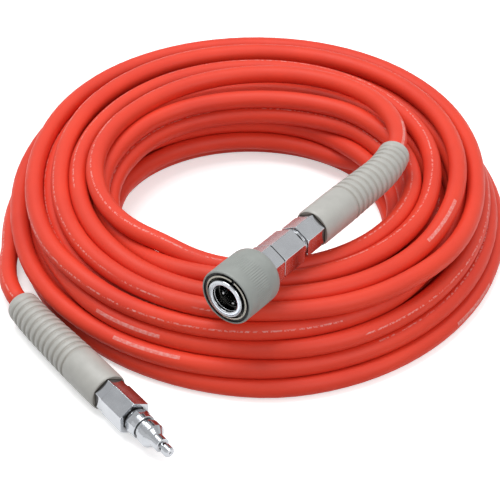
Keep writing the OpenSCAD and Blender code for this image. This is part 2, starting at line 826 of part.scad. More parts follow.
// Poppet: nose, disc, four guide wings and the stem inside its spring
module valve_poppet() {
    nose_front = 19.6;
    nose_r = 3.3;
    ease = 0.4;
    hub_r = 5;
    disc_len = 1.2;
    wing_r = chamber_r - run_gap;
    wing_w = 1.8;
    wing_len = 2;
    color(satin)
        at_mouth()
            union() {
                turned([
                    [0, -nose_front], [nose_r - ease, -nose_front], [nose_r, -nose_front - ease],
                    [nose_r, -seat_end - seat_gap],
                    [seal_inner_r - seat_gap, -seat_end - seat_gap],
                    [seal_inner_r - seat_gap, -poppet_disc_at],
                    [disc_r, -poppet_disc_at], [disc_r, -poppet_disc_at - disc_len],
                    [hub_r, -poppet_disc_at - disc_len], [hub_r, -poppet_wing_end],
                    [poppet_stem_r, -poppet_wing_end], [poppet_stem_r, -poppet_stem_end + ease],
                    [poppet_stem_r - ease, -poppet_stem_end], [0, -poppet_stem_end]
                ]);
                intersection() {
                    translate([0, 0, -poppet_wing_end])
                        cylinder(r = wing_r, h = wing_len);
                    union() {
                        translate([-wing_r - 1, -wing_w / 2, -poppet_wing_end])
                            cube([2 * wing_r + 2, wing_w, wing_len]);
                        translate([-wing_w / 2, -wing_r - 1, -poppet_wing_end])
                            cube([wing_w, 2 * wing_r + 2, wing_len]);
                    }
                }
            }
}

// Round wire spring from z0 to z1: its end curls lie flat, the free curls rise evenly
module coil_spring(mean_r, wire_d, z0, z1, curls) {
    sides = 6;
    steps = curls * rings_per_curl;
    rise = z1 - z0 - wire_d;
    echo(least_gap_between_curls = rise / curls - wire_d);
    polyhedron(
        [
            for (i = [0:steps], k = [0:sides - 1])
                let(turn = 360 * i / rings_per_curl, a = 360 * k / sides)
                    [
                        (mean_r + wire_d / 2 * cos(a)) * cos(turn),
                        (mean_r + wire_d / 2 * cos(a)) * sin(turn),
                        z0 + wire_d / 2 + rise * i / steps + wire_d / 2 * sin(a)
                    ]
        ],
        [for (f = tube_faces(steps + 1, sides)) [f[0], f[2], f[1]]]);
}

module valve_spring() {
    color(satin)
        at_mouth()
            coil_spring(valve_spring_r, valve_wire_d,
                -spring_seat_at + seat_gap, -poppet_wing_end - seat_gap, 5);
}

// Its flat-sided curls lie midway between the body's tube and the lock sleeve
module sleeve_spring() {
    mean_r = (body_r + spring_room_r) / (1 + cos(180 / rings_per_curl));
    color(satin)
        at_mouth()
            coil_spring(mean_r, sleeve_wire_d, -flange_at + seat_gap, -land_to - seat_gap, 4);
}

// Open wire ring that stops the lock sleeve at the mouth
module snap_ring() {
    opening = 18;
    opening_at = 35;
    color(satin)
        at_mouth()
            translate([0, 0, -ring_at])
                rotate([0, 0, opening_at + opening / 2])
                    rotate_extrude(angle = 360 - opening)
                        translate([body_r + ring_proud, 0])
                            circle(d = ring_wire_d);
}

// Steel sleeve that holds the balls in: cone, land, and the room for its spring
module lock_sleeve() {
    land_r = body_r + run_gap;
    front_r = cone_front_r - (cone_front_r - land_r) * (lip_len - cone_front_at)
        / (land_from - cone_front_at);
    front = lip_len + seat_gap;
    color(satin)
        at_mouth()
            turned([
                [front_r, -front], [lock_sleeve_r, -front], [lock_sleeve_r, -lock_sleeve_end],
                [spring_room_r, -lock_sleeve_end], [spring_room_r, -land_to], [land_r, -land_to],
                [land_r, -land_from]
            ]);
}

// Knurled cover, fixed round the lock sleeve and drawn back with it
module sleeve_cover() {
    knurl_from = 2.4;
    knurl_to = 17;
    knurl_depth = 0.35;
    inner_r = lock_sleeve_r + seat_gap;
    knurl_lift = 0.2;
    lip_r = 11.5;
    rear_gap = 0.35;
    rear_r = flange_r + rear_gap;
    tail_r = cover_r - 1.5;
    web_from = lock_sleeve_end + seat_gap;
    color(cover_grey)
        at_mouth()
            difference() {
                turned([
                    [lip_r, 0], [cover_r - 1, 0], [cover_r - 0.3, -0.3], [cover_r, -1],
                    [cover_r, -web_from], [cover_r - 0.6, -cover_len + 2.4],
                    [tail_r, -cover_len + 0.8], [tail_r - 0.8, -cover_len], [rear_r, -cover_len],
                    [rear_r, -web_from], [inner_r, -web_from], [inner_r, -lip_len], [lip_r, -lip_len]
                ]);
                for (i = [0:knurl_count - 1])
                    rotate([0, 0, i * 360 / knurl_count])
                        translate([cover_r + knurl_lift, 0, -knurl_to])
                            cylinder(r = knurl_depth + knurl_lift, h = knurl_to - knurl_from);
            }
}

// Locking ball i, in its hole in the body's tube
module lock_ball(i) {
    color(satin)
        at_mouth()
            rotate([0, 90, (i - 1) * 360 / ball_count])
                translate([ball_at, 0, ball_ring_r])
                    sphere(r = ball_r);
}

hose_coil();
hose_plug_run();
hose_socket_run();
hose_plug_tail();
hose_socket_tail();
plug_strain_sleeve();
plug_clamp_nut();
plug_hose_nipple();
plug_swivel_oring();
plug_swivel_wire();
plug_body();
socket_strain_sleeve();
socket_clamp_nut();
socket_hose_nipple();
socket_swivel_oring();
socket_swivel_wire();
socket_adapter();
socket_body();
plug_packing();
valve_seat();
valve_seal();
valve_poppet();
valve_spring();
sleeve_spring();
snap_ring();
lock_sleeve();
sleeve_cover();
lock_ball(1);  // lock_ball_1
lock_ball(2);  // lock_ball_2
lock_ball(3);  // lock_ball_3
lock_ball(4);  // lock_ball_4
lock_ball(5);  // lock_ball_5
lock_ball(6);  // lock_ball_6
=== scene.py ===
import math
import bpy
import numpy as np
from mathutils import Euler, Matrix, Vector


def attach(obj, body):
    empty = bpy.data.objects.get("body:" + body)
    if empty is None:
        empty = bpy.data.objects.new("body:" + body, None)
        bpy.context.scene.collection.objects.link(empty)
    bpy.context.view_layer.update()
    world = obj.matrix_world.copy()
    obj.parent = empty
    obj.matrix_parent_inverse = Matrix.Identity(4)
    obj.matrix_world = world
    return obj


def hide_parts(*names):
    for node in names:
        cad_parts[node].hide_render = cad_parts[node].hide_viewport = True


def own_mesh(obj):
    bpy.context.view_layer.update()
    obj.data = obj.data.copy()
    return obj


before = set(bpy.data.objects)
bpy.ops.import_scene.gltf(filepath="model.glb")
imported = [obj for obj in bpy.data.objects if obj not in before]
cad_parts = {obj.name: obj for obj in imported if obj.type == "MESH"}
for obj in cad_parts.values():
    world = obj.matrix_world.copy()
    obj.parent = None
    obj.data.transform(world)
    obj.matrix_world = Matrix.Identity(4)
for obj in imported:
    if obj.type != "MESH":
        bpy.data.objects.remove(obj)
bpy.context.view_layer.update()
print("frame loaded")

mm = 0.001
touch = 0.01  # mm that count as touching

# where the two ends of the hose sit: the hose end of each sleeve, and how its axis is turned
plugPlace = {"start": (-119.108 * mm, -51.7373 * mm, 10.4 * mm), "turn": (0, 90, -53)}
socketPlace = {"start": (84.5312 * mm, 19.5219 * mm, 55.9247 * mm), "turn": (0, 88, 233)}
mouthPlace = {"start": (-9.59545 * mm, -105.388 * mm, 61.3864 * mm), "turn": (0, 88, 233)}
pileMiddle = (3 * mm, 24 * mm, 0.0)


def placeMatrix(place):
    turn = Euler([math.radians(angle) for angle in place["turn"]], "XYZ")
    return Matrix.Translation(place["start"]) @ turn.to_matrix().to_4x4()


def deselectAll():
    for obj in list(bpy.context.selected_objects):
        obj.select_set(False)
    bpy.context.view_layer.objects.active = None


def makeActive(obj):
    deselectAll()
    obj.select_set(True)
    bpy.context.view_layer.objects.active = obj


deselectAll()

# camera
camera = {
    "target": (2.2 * mm, -16.78 * mm, 20 * mm),
    "elevation": 38.964,
    "distance": 1084.6 * mm,
    "lens": 145.4,
    "sensor": 36,
    "nearest": 0.05,
    "farthest": 60,
}


def addCamera(c):
    rise = math.radians(c["elevation"])
    x, y, z = c["target"]
    spot = (x, y - c["distance"] * math.cos(rise), z + c["distance"] * math.sin(rise))
    bpy.ops.object.camera_add(location=spot, rotation=(math.pi / 2 - rise, 0, 0))
    view = bpy.context.object
    view.name = "camera"
    view.data.lens = c["lens"]
    view.data.sensor_width = c["sensor"]
    view.data.clip_start = c["nearest"]
    view.data.clip_end = c["farthest"]
    bpy.context.scene.camera = view


addCamera(camera)
print("camera placed")

# the hose, as it was wound by hand and settled under its own weight
hose = {
    "diameter": 10.0,
    "realLength": 14.56,  # in metres, outside the sleeves
    "sides": 20,
    "samplesPerTurn": 96,
    "firstTurn": -0.0883,
    "lastTurn": 22.5042,
    "bulgeFrom": 90,  # radius at which the outer turns begin to stand out, in mm
    "bulgeOver": 35,
    "wander": ((0.7, 0.37, 0.1), (0.6, 0.71, 0.4), (0.5, 1.31, 0.7)),  # size in mm, rate, shift
    "heightWander": ((0.6, 0.43, 0.3), (0.5, 1.17, 0.8)),
    "wanderEnds": 0.7,  # turns before the last over which the wander dies away
    "easeTimes": 60,
    "easeShare": 0.5,
    "rounds": 420,
    "calmAfter": 0.8,  # share of the rounds after which the weight is eased
    "calmWeight": 0.3,
    "weight": 0.04,
    "bendStiffness": 0.25,
    "bendsPerRound": 2,
    "pushesPerRound": 4,
    "hold": (0.03, 0.03),  # pull back to the laid radius and height
    "topTurn": 15,
    "topOver": 0.5,
    "topHold": (0.12, 0.08),
    "twistStart": 0.35,
    "twists": ((0.12, 1.7), (0.05, 5.3)),
}

# one row for each turn: radius and height in mm at the left, the back, the right and the front
turns = (
    ((131, 5), (135, 5), (134, 5), (132, 5)),
    ((120, 5), (124, 5), (123, 5), (121, 5)),
    ((110, 5), (112, 5), (112, 5), (110, 5)),
    ((100, 5), (101, 5), (101, 5), (99, 5)),
    ((90, 5), (87, 5), (90, 5), (88, 5)),
    ((85, 5), (75, 5), (80, 6), (79, 9)),
    ((81, 12), (69, 13.7), (83, 13.7), (81, 13.7)),
    ((90, 13.7), (83, 13.7), (95, 13.7), (92, 13.7)),
    ((98, 13.7), (100, 13.7), (107, 13.7), (104, 13.7)),
    ((110, 13.7), (117, 13.7), (119, 13.7), (116, 13.7)),
    ((122, 13.7), (131, 13.7), (131, 14), (128, 14)),
    ((125, 18), (130, 22.3), (125, 22.3), (124, 22.3)),
    ((113, 22.3), (112, 22.3), (112, 22.3), (108, 22.3)),
    ((97, 22.3), (92, 22.3), (98, 22.3), (93, 22.3)),
    ((85, 22.3), (69, 22.3), (84, 22.3), (80, 25)),
    ((81, 29), (69, 31), (86, 31), (92, 31)),
    ((94, 31), (92, 31), (98, 31), (107, 31)),
    ((112, 30), (114, 31), (113, 31), (121, 31)),
    ((117, 34), (132, 36), (122, 31), (115, 38)),
    ((102, 40), (119, 39.6), (110, 40), (104, 41)),
    ((93, 40), (103, 41), (100, 41), (91, 41)),
    ((82, 37), (69, 39.6), (91, 41), (84, 41.5)),
)

# the two ends in the pile's own frame: azimuth in degrees, radius and height in mm
plugRun = (
    (211.79, 142.2, 10.4), (207.75, 142.2, 10.4), (203, 141.0, 9.4),
    (198, 138.6, 7.8), (193, 135.9, 6.3), (188, 133.4, 5.3),
)
socketRun = (
    (180, 85, 44), (135, 83, 46), (90, 87, 46.5), (60, 91.5, 48), (40, 91.5, 50.5),
    (28, 88.8, 52.6), (17.2, 84.9, 54.4), (5.36, 80.2, 55.8), (-1.5, 77.35, 55.94),
)

# how far the outer turns of the pile stand out further at some azimuths
bulge = (
    (0, -1), (10, 1), (22, 8), (45, 12), (60, 10), (75, 5), (100, 2), (120, 7), (140, 10), (155, 4),
    (168, -4), (182, -5), (196, -1), (210, 0), (285, 0), (300, 2), (322, 1), (342, -4), (360, -1),
)


def azimuthAt(turn):
    return 180 - 360 * turn


def turnAt(azimuth):
    return (180 - azimuth) / 360


def ease(values, times, share):
    for _ in range(times):
        calm = values.copy()
        calm[1:-1] = values[1:-1] * (1 - share) + share * 0.5 * (values[:-2] + values[2:])
        values = calm
    return values


def addWaves(values, turn, waves, fade):
    for size, rate, shift in waves:
        values = values + size * np.sin(2 * math.pi * (rate * turn + shift)) * fade
    return values


def layTurns(h, turn, socketAt):
    # radius and height along the hose as it is laid, before it settles
    spots = [spot for row in turns for spot in row] + [(r, z) for a, r, z in socketRun]
    spots = np.array(spots, dtype=float)
    knots = np.concatenate([np.arange(4 * len(turns)) / 4, socketAt])
    radius = np.interp(turn, knots, spots[:, 0])
    height = np.interp(turn, knots, spots[:, 1])
    outer = np.clip((radius - h["bulgeFrom"]) / h["bulgeOver"], 0, 1)
    further = [out for a, out in bulge]
    radius += outer * np.interp(azimuthAt(turn) % 360, [a for a, out in bulge], further)
    fade = np.clip(turn, 0, 1) * np.clip((len(turns) - turn) / h["wanderEnds"], 0, 1)
    radius = addWaves(radius, turn, h["wander"], fade)
    height = addWaves(height, turn, h["heightWander"], fade)
    radius = ease(radius, h["easeTimes"], h["easeShare"])
    height = ease(height, h["easeTimes"], h["easeShare"])
    return radius, np.maximum(height, h["diameter"] / 2)


def holdEnds(turn, socketAt):
    # the ends are held where the sleeves let go of them
    plugAt = [turnAt(a) for a, r, z in plugRun]
    lastTwo = socketAt[-2:]
    plugHeld = turn <= plugAt[-1]
    socketHeld = turn >= lastTwo[0]
    aims = []
    for i in (1, 2):
        atPlug = np.interp(turn, plugAt, [spot[i] for spot in plugRun])
        atSocket = np.interp(turn, lastTwo, [spot[i] for spot in socketRun[-2:]])
        aims.append(np.where(plugHeld, atPlug, atSocket))
    return plugHeld | socketHeld, aims[0], aims[1]


def pushApart(radius, height, h):
    # loops that lie too close push each other away, and none sinks into the floor
    perTurn = h["samplesPerTurn"]
    for k in range(perTurn, len(radius), perTurn):
        outward = radius[k:] - radius[:-k]
        upward = height[k:] - height[:-k]
        apart = np.sqrt(outward ** 2 + upward ** 2) + 1e-9
        push = np.clip(h["diameter"] - apart, 0, None) * 0.5 / apart
        radius[k:] += push * outward
        radius[:-k] -= push * outward
        height[k:] += push * upward
        height[:-k] -= push * upward
    np.maximum(height, h["diameter"] / 2, out=height)


def settle(h, turn, radius, height, ends):
    held, heldRadius, heldHeight = ends
    radiusAim, heightAim = radius.copy(), height.copy()
    top = np.clip((turn - h["topTurn"]) / h["topOver"], 0, 1)
    radiusHold = h["hold"][0] + (h["topHold"][0] - h["hold"][0]) * top
    heightHold = h["hold"][1] + (h["topHold"][1] - h["hold"][1]) * top
    for lap in range(h["rounds"]):
        calm = lap > h["rounds"] * h["calmAfter"]
        height -= h["weight"] * (h["calmWeight"] if calm else 1)
        for _ in range(h["bendsPerRound"]):
            for values in (radius, height):
                between = 0.5 * (values[:-2] + values[2:])
                values[1:-1] += h["bendStiffness"] * (between - values[1:-1])
        radius += radiusHold * (radiusAim - radius)
        height += heightHold * (heightAim - height)
        for _ in range(h["pushesPerRound"]):
            pushApart(radius, height, h)
        radius[held] = heldRadius[held]
        height[held] = heldHeight[held]


def windHose(h):
    count = int(round((h["lastTurn"] - h["firstTurn"]) * h["samplesPerTurn"])) + 1
    turn = h["firstTurn"] + np.arange(count) / h["samplesPerTurn"]
    socketAt = [len(turns) + turnAt(a) for a, r, z in socketRun]
    radius, height = layTurns(h, turn, socketAt)
    settle(h, turn, radius, height, holdEnds(turn, socketAt))
    angle = np.radians(azimuthAt(turn))
    spots = np.stack([radius * np.cos(angle), radius * np.sin(angle), height], 1)
    return spots * mm + np.array(pileMiddle)


def twistPrint(along):
    # how far the printed line has turned round the hose, in turns
    spin = hose["twistStart"]
    for size, rate in hose["twists"]:
        spin = spin + size * np.sin(along * rate)
    return spin


def tubeMesh(name, points, diameter, sides, twist):
    # rings square to the way the hose runs, with the way along it and round it kept as a UV map
    count = len(points)
    way = np.gradient(points, axis=0)
    way /= np.linalg.norm(way, axis=1)[:, None]
    side = np.cross(np.array([0, 0, 1.0]), way)
    side /= np.linalg.norm(side, axis=1)[:, None]
    top = np.cross(way, side)
    around = np.arange(sides) * 2 * math.pi / sides
    across = np.cos(around)[None, :, None] * side[:, None, :]
    across = across + np.sin(around)[None, :, None] * top[:, None, :]
    rings = points[:, None, :] + diameter / 2 * across
    steps = np.linalg.norm(np.diff(points, axis=0), axis=1)
    along = np.concatenate([[0], np.cumsum(steps)])
    spin = twist(along)
    faces = []
    coords = []
    for i in range(count - 1):
        here, there = along[i], along[i + 1]
        for j in range(sides):
            k = (j + 1) % sides
            faces.append((i * sides + j, i * sides + k, (i + 1) * sides + k, (i + 1) * sides + j))
            low, high = j / sides, (j + 1) / sides
            coords += [(here, low + spin[i]), (here, high + spin[i])]
            coords += [(there, high + spin[i + 1]), (there, low + spin[i + 1])]
    # both ends are closed, inside the sleeves
    faces.append(tuple(range(sides - 1, -1, -1)))
    faces.append(tuple((count - 1) * sides + j for j in range(sides)))
    coords += [(0, 0)] * (2 * sides)
    mesh = bpy.data.meshes.new(name)
    mesh.from_pydata([tuple(v) for v in rings.reshape(-1, 3)], [], faces)
    uvMap = mesh.uv_layers.new(name="alongAround")
    uvMap.data.foreach_set("uv", np.array(coords, dtype=np.float32).ravel())
    mesh.validate()
    mesh.update()
    obj = bpy.data.objects.new(name, mesh)
    bpy.context.scene.collection.objects.link(obj)
    makeActive(obj)
    bpy.ops.object.shade_smooth()
    return obj


hosePath = windHose(hose)
hoseLength = float(np.sum(np.linalg.norm(np.diff(hosePath, axis=0), axis=1)))
hoseTop = hosePath[:, 2].max() / mm + hose["diameter"] / 2
print("hose wound, %.3f m, top at %.1f mm" % (hoseLength, hoseTop))
hosePiece = tubeMesh("airHose", hosePath, hose["diameter"] * mm, hose["sides"], twistPrint)
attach(hosePiece, "hose")
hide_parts("hose_coil", "hose_plug_run", "hose_socket_run")


def lathe(name, outline, steps):
    # a ring drawn out along the outline of radius and height in mm, which closes on itself
    deselectAll()
    first, low = outline[0]
    bpy.ops.mesh.primitive_circle_add(vertices=steps, radius=first * mm, location=(0, 0, 0))
    obj = bpy.context.object
    obj.name = name
    obj.data.name = name
    bpy.ops.object.mode_set(mode="EDIT")
    bpy.ops.mesh.select_all(action="SELECT")
    bpy.ops.transform.translate(value=(0, 0, low * mm))
    for (r0, z0), (r1, z1) in zip(outline, list(outline[1:]) + [outline[0]]):
        rise = {"value": (0, 0, (z1 - z0) * mm)}
        bpy.ops.mesh.extrude_region_move(TRANSFORM_OT_translate=rise)
        bpy.ops.transform.resize(value=(r1 / r0, r1 / r0, 1), center_override=(0, 0, z1 * mm))
    bpy.ops.mesh.select_all(action="SELECT")
    bpy.ops.mesh.remove_doubles(threshold=touch * mm)
    bpy.ops.mesh.normals_make_consistent(inside=False)
    bpy.ops.object.mode_set(mode="OBJECT")
    return obj


def closeEnds():
    # fills the open rings of the active piece
    bpy.ops.mesh.select_mode(type="EDGE")
    bpy.ops.mesh.select_all(action="SELECT")
    bpy.ops.mesh.fill_holes(sides=0)
    bpy.ops.mesh.normals_make_consistent(inside=False)
    bpy.ops.mesh.select_mode(type="VERT")


def readPoints(obj):
    flat = np.empty(len(obj.data.vertices) * 3)
    obj.data.vertices.foreach_get("co", flat)
    return flat.reshape(-1, 3) / mm


def writePoints(obj, points):
    obj.data.vertices.foreach_set("co", (points * mm).ravel())
    obj.data.update()


def putInPlace(obj, place, angle):
    obj.data.transform(placeMatrix(place))
    makeActive(obj)
    bpy.ops.object.shade_smooth_by_angle(angle=math.radians(angle))


# strain relief sleeves: rounded ribs over the hose, a smooth shank over the nut
sleeve = {
    "steps": 72,
    "smoothAngle": 50,
    "length": 84.0,
    "endRadius": 8.8,
    "shankRadius": 10.4,
    "hoseBore": 5.25,
    "boreFrom": 1.0,
    "boreTo": 28,
    "lip": ((5.6, 0.3), (6.3, 0.0), (7.3, 0.08), (8.1, 0.45)),
    "endEdge": ((-0.2, 1.2), (0.0, 2.3), (0.1, 4.2), (0.04, 4.9)),  # out from endRadius, height
    "endRing": 5.0,
    "ribCount": 11,
    "ribPitch": 4.6,
    "grooveMiddle": 0.7,
    "ribProfile": (  # share of the pitch from the rib's middle, depth
        (-0.5, -0.78), (-0.41, -0.76), (-0.35, -0.6), (-0.3, -0.2), (-0.2, -0.05),
        (0.0, 0.0), (0.18, -0.05), (0.27, -0.2), (0.32, -0.6), (0.38, -0.76),
    ),
    "shankEdge": ((-0.55, 0.0), (-0.35, 0.5), (-0.1, 1.2), (0.0, 2.4)),  # out from shankRadius
    "shankMiddle": 70,
    "nutEdge": (
        (0.0, -1.6), (-0.12, -0.8), (-0.4, -0.2), (-0.7, 0.0), (-0.92, -0.15), (-1.03, -0.5),
        (-1.06, -0.3),
    ),
    "nutMouth": (9.25, -0.35),
    "nutBore": 9.24,
    "nutBoreBetween": (9.2, 9.26),
    "nutFrom": 63.9,
    "nutFlats": 16.0,
    "nutClearance": 0.06,
    "bendLength": 28.0,
    "plugBend": (6, 1),  # degrees, and the side it bends to
    "socketBend": (20, -1),
}


def sleeveOutline(s):
    end, shank, length, bore = s["endRadius"], s["shankRadius"], s["length"], s["hoseBore"]
    ribsEnd = s["endRing"] + s["ribCount"] * s["ribPitch"]
    slope = (shank - end) / ribsEnd
    outline = [(bore, s["boreFrom"])] + list(s["lip"])
    outline += [(end + out, at) for out, at in s["endEdge"]]
    for i in range(s["ribCount"]):
        middle = s["endRing"] + i * s["ribPitch"] + s["grooveMiddle"] + s["ribPitch"] / 2
        for share, deep in s["ribProfile"]:
            at = middle + share * s["ribPitch"]
            outline.append((end + slope * at + deep, at))
    shankFrom = ribsEnd + s["grooveMiddle"]
    outline += [(shank + out, shankFrom + up) for out, up in s["shankEdge"]]
    outline.append((shank, s["shankMiddle"]))
    outline += [(shank + out, length + up) for out, up in s["nutEdge"]]
    outline += [(s["nutMouth"][0], length + s["nutMouth"][1]), (s["nutBore"], s["nutFrom"])]
    outline += [(bore, s["nutFrom"] - 0.3), (bore, s["boreTo"])]
    return outline


def makeSleeve(name, node, body, place, bending, s):
    obj = lathe(name, sleeveOutline(s), s["steps"])
    points = readPoints(obj)
    radius = np.hypot(points[:, 0], points[:, 1])
    # the bore over the nut is a hexagon that holds its flats
    low, high = s["nutBoreBetween"]
    overNut = (radius > low) & (radius < high) & (points[:, 2] > s["nutFrom"] - 0.1)
    around = np.degrees(np.arctan2(points[:, 1], points[:, 0])) % 60
    hexRadius = (s["nutFlats"] / 2 + s["nutClearance"]) / np.cos(np.radians(around - 30))
    points[overNut, :2] *= (hexRadius[overNut] / radius[overNut])[:, None]
    # the hose end follows the bend of the hose
    bend, side = bending
    bendRadius = s["bendLength"] / math.radians(bend)
    bent = points[:, 2] < s["bendLength"]
    angle = side * np.radians(bend) * (s["bendLength"] - points[:, 2]) / s["bendLength"]
    reach = points[:, 1] - side * bendRadius
    points[bent, 1] = (side * bendRadius + reach * np.cos(angle))[bent]
    points[bent, 2] = (s["bendLength"] + reach * np.sin(angle))[bent]
    writePoints(obj, points)
    putInPlace(obj, place, s["smoothAngle"])
    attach(obj, body)
    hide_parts(node)
    return obj


plugSleeve = makeSleeve(
    "plugSleeve", "plug_strain_sleeve", "hose", plugPlace, sleeve["plugBend"], sleeve)
socketSleeve = makeSleeve(
    "socketSleeve", "socket_strain_sleeve", "hose", socketPlace, sleeve["socketBend"], sleeve)
print("sleeves moulded")

# cover of the release sleeve, with a fine knurl round its middle
cover = {
    "steps": 288,
    "smoothAngle": 35,
    "knurlEvery": 4,
    "knurlRadius": 14.9,  # what stands further out than this is knurled
    "knurlFrom": -17.4,
    "knurlTo": -7.0,
    "knurlDepth": 0.22,
    "knurlCrest": -0.04,
    "knurlFlank": 0.3,  # share of the depth between groove and crest
    "recessRadius": 13.95,
    "recessFrom": -1.3,
    "outline": (
        (13.95, -0.35), (14.02, -0.08), (14.25, 0.0), (14.6, -0.1), (14.85, -0.4), (14.97, -0.9),
        (15.0, -1.6), (15.0, -4.2), (15.0, -6.4), (15.0, -6.8), (15.0, -7.2), (15.0, -9.8),
        (15.0, -12.4), (15.0, -15.0), (15.0, -17.2), (15.0, -17.6), (15.0, -18.0), (15.0, -20.6),
        (14.95, -22.4), (14.75, -23.8), (14.4, -24.8), (13.9, -25.7), (13.3, -26.4),
        (12.6, -26.75), (11.5, -26.8), (11.45, -26.4), (11.45, -21.6), (12.6, -21.56),
        (12.6, -20.0), (12.6, -1.02), (13.9, -1.0),
    ),
}


def makeCover(c, place):
    obj = lathe("releaseCover", c["outline"], c["steps"])
    points = readPoints(obj)
    radius = np.hypot(points[:, 0], points[:, 1])
    around = np.degrees(np.arctan2(points[:, 1], points[:, 0]))
    row = np.round(around / 360 * c["steps"]).astype(int) % c["knurlEvery"]
    knurled = (points[:, 2] < c["knurlTo"]) & (points[:, 2] > c["knurlFrom"])
    knurled &= radius > c["knurlRadius"]
    flank = c["knurlDepth"] * c["knurlFlank"]
    crest = c["knurlEvery"] // 2
    deep = np.where(row == 0, c["knurlDepth"], np.where(row == crest, c["knurlCrest"], flank))
    points[knurled, :2] *= (1 - deep[knurled] / radius[knurled])[:, None]
    writePoints(obj, points)
    # the recess inside the front edge takes a second, black material, a painted shade for the gap
    # there
    middles = np.array([tuple(face.center) for face in obj.data.polygons]) / mm
    recess = np.hypot(middles[:, 0], middles[:, 1]) < c["recessRadius"] + touch
    recess &= middles[:, 2] > c["recessFrom"]
    putInPlace(obj, place, c["smoothAngle"])
    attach(obj, "release_sleeve")
    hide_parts("sleeve_cover")
    return obj, recess.astype(np.int32)


releaseCover, coverRecess = makeCover(cover, mouthPlace)

# front of the socket: the body's broad face, and the split ring behind it
mouth = {
    "steps": 96,
    "smoothAngle": 35,
    "face": (
        (7.5, -0.4), (7.5, 0.7), (7.62, 0.98), (7.95, 1.2), (8.3, 1.25), (9.7, 1.25),
        (10.02, 1.17), (10.2, 0.95), (10.25, 0.6), (10.25, -0.5), (9.1, -0.5), (9.1, -0.1),
    ),
    "ring": (
        (9.1, -0.98), (9.1, -0.7), (11.2, -0.7), (11.4, -0.2), (11.55, -0.06), (12.2, -0.06),
        (12.42, -0.2), (12.48, -0.45), (12.45, -0.98),
    ),
    "gapMiddle": 160,
    "gapWide": 7,
}


def makeMouth(m, place):
    face = lathe("mouthFace", m["face"], m["steps"])
    putInPlace(face, place, m["smoothAngle"])
    ring = lathe("splitRing", m["ring"], m["steps"])
    for part in list(ring.data.vertices) + list(ring.data.edges):
        part.select = False
    for polygon in ring.data.polygons:
        x, y, z = polygon.center
        off = abs(math.degrees(math.atan2(y, x)) - m["gapMiddle"])
        polygon.select = off < m["gapWide"] / 2
    bpy.context.tool_settings.mesh_select_mode = (False, False, True)
    bpy.ops.object.mode_set(mode="EDIT")
    bpy.ops.mesh.delete(type="FACE")
    closeEnds()
    bpy.ops.object.mode_set(mode="OBJECT")
    putInPlace(ring, place, m["smoothAngle"])
    for obj, slot in ((face, "plated_steel"), (ring, "spring_steel")):
        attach(obj, "socket_head")
    return face, ring


mouthFace, splitRing = makeMouth(mouth, mouthPlace)
print("cover and mouth turned")

# the two return springs
springs = {
    "valveSpring": {
        "node": "valve_spring", "joint": "valve_slide", "travel": 5.0,
        "radius": 4.3, "wire": 1.0, "low": -36.45, "high": -25.55, "curls": 5,
    },
    "sleeveSpring": {
        "node": "sleeve_spring", "joint": "sleeve_slide", "travel": 4.5,
        "radius": 10.49, "wire": 1.1, "low": -19.95, "high": -9.55, "curls": 4,
    },
}
coiling = {
    "wireSides": 12,
    "stepsPerCurl": 36,
    "closedCurls": 0.8,
    "closedPitch": 1.03,  # rise of a closed curl, in wires
    "smoothAngle": 50,
}


def windSpring(name, s, place, c):
    deselectAll()
    spot = (s["radius"] * mm, 0, 0)
    upright = (math.pi / 2, 0, 0)
    wire = s["wire"] / 2
    bpy.ops.mesh.primitive_circle_add(
        vertices=c["wireSides"], radius=wire * mm, location=spot, rotation=upright)
    obj = bpy.context.object
    obj.name = name
    obj.data.name = name
    bpy.ops.object.transform_apply(location=True, rotation=True, scale=True)
    curl = obj.modifiers.new("curls", "SCREW")
    curl.angle = 2 * math.pi * s["curls"]
    curl.steps = curl.render_steps = c["stepsPerCurl"] * s["curls"]
    curl.use_merge_vertices = False
    bpy.ops.object.modifier_apply(modifier="curls")
    # the end curls lie flat against their seats, the free curls between them rise evenly
    points = readPoints(obj)
    turn = np.arange(len(points)) // c["wireSides"] / c["stepsPerCurl"]
    closed = c["closedCurls"]
    low, high = s["low"] + wire, s["high"] - wire
    rise = closed * s["wire"] * c["closedPitch"]
    knots = (0, closed, s["curls"] - closed, s["curls"])
    points[:, 2] += np.interp(turn, knots, (low, low + rise, high - rise, high))
    points[:, 2] = np.clip(points[:, 2], s["low"] + touch, s["high"] - touch)
    writePoints(obj, points)
    bpy.ops.object.mode_set(mode="EDIT")
    closeEnds()
    bpy.ops.object.mode_set(mode="OBJECT")
    putInPlace(obj, place, c["smoothAngle"])
    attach(obj, "socket_head")
    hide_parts(s["node"])
    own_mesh(obj)
    return obj


springPieces = [windSpring(name, s, mouthPlace, coiling) for name, s in springs.items()]
print("springs wound")


# materials
def newMaterial(name):
    material = bpy.data.materials.new(name)
    material.use_nodes = True
    return material, material.node_tree, material.node_tree.nodes["Principled BSDF"]


def feed(tree, socket, value):
    # a link from another node's output, or a plain setting
    if isinstance(value, bpy.types.NodeSocket):
        tree.links.new(value, socket)
    else:
        socket.default_value = value


def addNode(tree, kind, settings=None, inputs=None):
    node = tree.nodes.new(kind)
    for key, value in (settings or {}).items():
        setattr(node, key, value)
    for key, value in (inputs or {}).items():
        feed(tree, node.inputs[key], value)
    return node


def maths(tree, operation, first, second=0.0):
    node = addNode(tree, "ShaderNodeMath", {"operation": operation}, {0: first, 1: second})
    return node.outputs[0]


def times(tree, first, second):
    return maths(tree, "MULTIPLY", first, second)


def between(tree, value, low, high):
    above = maths(tree, "GREATER_THAN", value, low)
    return times(tree, above, maths(tree, "LESS_THAN", value, high))


def mixColour(tree, share, first, second):
    node = addNode(tree, "ShaderNodeMix", {"data_type": "RGBA"}, {0: share, 6: first, 7: second})
    return node.outputs[2]


